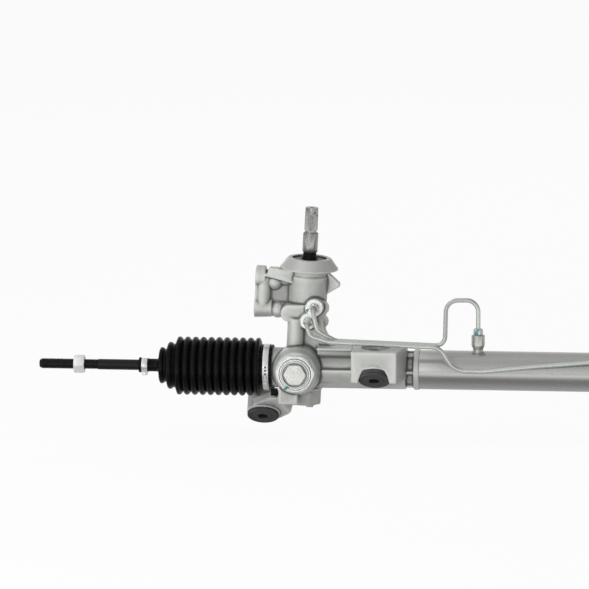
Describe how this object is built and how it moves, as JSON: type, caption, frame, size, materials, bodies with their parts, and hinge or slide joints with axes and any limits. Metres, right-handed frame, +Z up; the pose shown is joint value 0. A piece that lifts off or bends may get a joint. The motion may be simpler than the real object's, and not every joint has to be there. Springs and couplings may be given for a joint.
{
  "type": "hydraulic rack and pinion steering gear",
  "caption": "Hydraulic rack-and-pinion steering gear: cast housing with valve tower, steel power cylinder with pipes, pleated rubber boots and threaded tie rods.",
  "frame": {"origin": "centre of the bolt bore of the left mounting bush", "axes": "+X along the rack from the pinion's end to the cylinder's far end, +Z up beside the input shaft (which leans 2.8 degrees to +X), -Y to the side of the rack guide and the two front mounts"},
  "size_m": [1.204, 0.1384, 0.2986],
  "materials": {
    "cast_aluminium": "satin cast",
    "machined_aluminium": "machined",
    "zinc_plated_steel": "zinc plated, satin",
    "drawn_steel_tube": "satin, drawn along its length",
    "machined_steel": "ground and turned",
    "black_rubber": "matte",
    "black_coated_steel": "black phosphate",
    "pale_nylon": "moulded",
    "dark_nylon": "moulded"
  },
  "bodies": {
    "gear": {"gear_housing": "cast_aluminium", "end_housing": "cast_aluminium", "dust_shield": "cast_aluminium", "input_dust_seal": "black_rubber", "bearing_carrier": "machined_aluminium", "input_shaft_seal": "black_rubber", "retaining_ring": "machined_steel", "input_shaft_bearing": "machined_steel", "pinion_needle_bearing": "machined_steel", "pinion_seal": "black_rubber", "pinion_bearing_outer_race": "machined_steel", "pinion_cap": "cast_aluminium", "rack_guide": "machined_aluminium", "rack_guide_o_ring": "black_rubber", "rack_guide_spring": "machined_steel", "rack_guide_plug": "zinc_plated_steel", "rack_guide_lock_nut": "zinc_plated_steel", "cylinder_tube": "drawn_steel_tube", "left_port_boss": "zinc_plated_steel", "right_port_boss": "zinc_plated_steel", "inner_seal_carrier": "machined_steel", "inner_rack_seal": "black_rubber", "outer_rack_seal": "black_rubber", "rack_bush": "pale_nylon", "left_cylinder_pipe": "zinc_plated_steel", "right_cylinder_pipe": "zinc_plated_steel", "pipe_nuts": "zinc_plated_steel", "left_mount_bush": "black_rubber", "middle_mount_bush": "black_rubber", "right_mount_bush": "black_rubber", "left_bush_sleeve": "machined_steel", "middle_bush_sleeve": "machined_steel", "right_bush_sleeve": "machined_steel", "left_boot": "black_rubber", "right_boot": "black_rubber", "left_large_clamp": "zinc_plated_steel", "right_large_clamp": "zinc_plated_steel"},
    "rack": {"rack_bar": "machined_steel", "piston": "machined_aluminium", "piston_ring": "dark_nylon", "left_ball_housing": "machined_steel", "right_ball_housing": "machined_steel"},
    "pinion": {"pinion": "machined_steel", "pinion_bearing_inner_race": "machined_steel", "pinion_bearing_balls": "machined_steel", "pinion_nut": "machined_steel", "valve_sleeve": "machined_steel", "valve_sleeve_rings": "dark_nylon"},
    "input_shaft": {"input_shaft": "machined_steel", "torsion_bar": "machined_steel", "torsion_bar_pin": "machined_steel"},
    "left_seat": {"left_ball_seat": "pale_nylon"},
    "right_seat": {"right_ball_seat": "pale_nylon"},
    "left_tie_rod": {"left_tie_rod": "black_coated_steel", "left_jam_nut": "zinc_plated_steel", "left_small_clamp": "zinc_plated_steel"},
    "right_tie_rod": {"right_tie_rod": "black_coated_steel", "right_jam_nut": "zinc_plated_steel", "right_small_clamp": "zinc_plated_steel"}
  },
  "joints": [
    {"name": "rack_slide", "type": "slide", "parent": "gear", "child": "rack", "axis": [1, 0, 0], "range_m": [-0.07, 0.07], "deforming": ["left_boot", "right_boot"]},
    {"name": "pinion_spin", "type": "hinge", "parent": "gear", "child": "pinion", "pos_m": [0.057, -0.02567, 0.0583], "axis": [0.0488, 0, 0.9988], "range_deg": [-502, 502]},
    {"name": "valve_twist", "type": "hinge", "parent": "pinion", "child": "input_shaft", "pos_m": [0.057, -0.02567, 0.0583], "axis": [0.0488, 0, 0.9988], "range_deg": [-4, 4], "stiffness_Nm_per_rad": 85},
    {"name": "left_seat_swing", "type": "hinge", "parent": "rack", "child": "left_seat", "pos_m": [-0.08, -0.04247, 0.0583], "axis": [0, 0, 1], "range_deg": [-15, 15]},
    {"name": "left_rod_swing", "type": "hinge", "parent": "left_seat", "child": "left_tie_rod", "pos_m": [-0.08, -0.04247, 0.0583], "axis": [0, 1, 0], "range_deg": [-20, 20]},
    {"name": "right_seat_swing", "type": "hinge", "parent": "rack", "child": "right_seat", "pos_m": [0.693, -0.04247, 0.0583], "axis": [0, 0, 1], "range_deg": [-15, 15]},
    {"name": "right_rod_swing", "type": "hinge", "parent": "right_seat", "child": "right_tie_rod", "pos_m": [0.693, -0.04247, 0.0583], "axis": [0, 1, 0], "range_deg": [-20, 20]}
  ],
  "couplings": [
    {"joint": "pinion_spin", "follows": "rack_slide", "rad_per_m": 124.85}
  ]
}
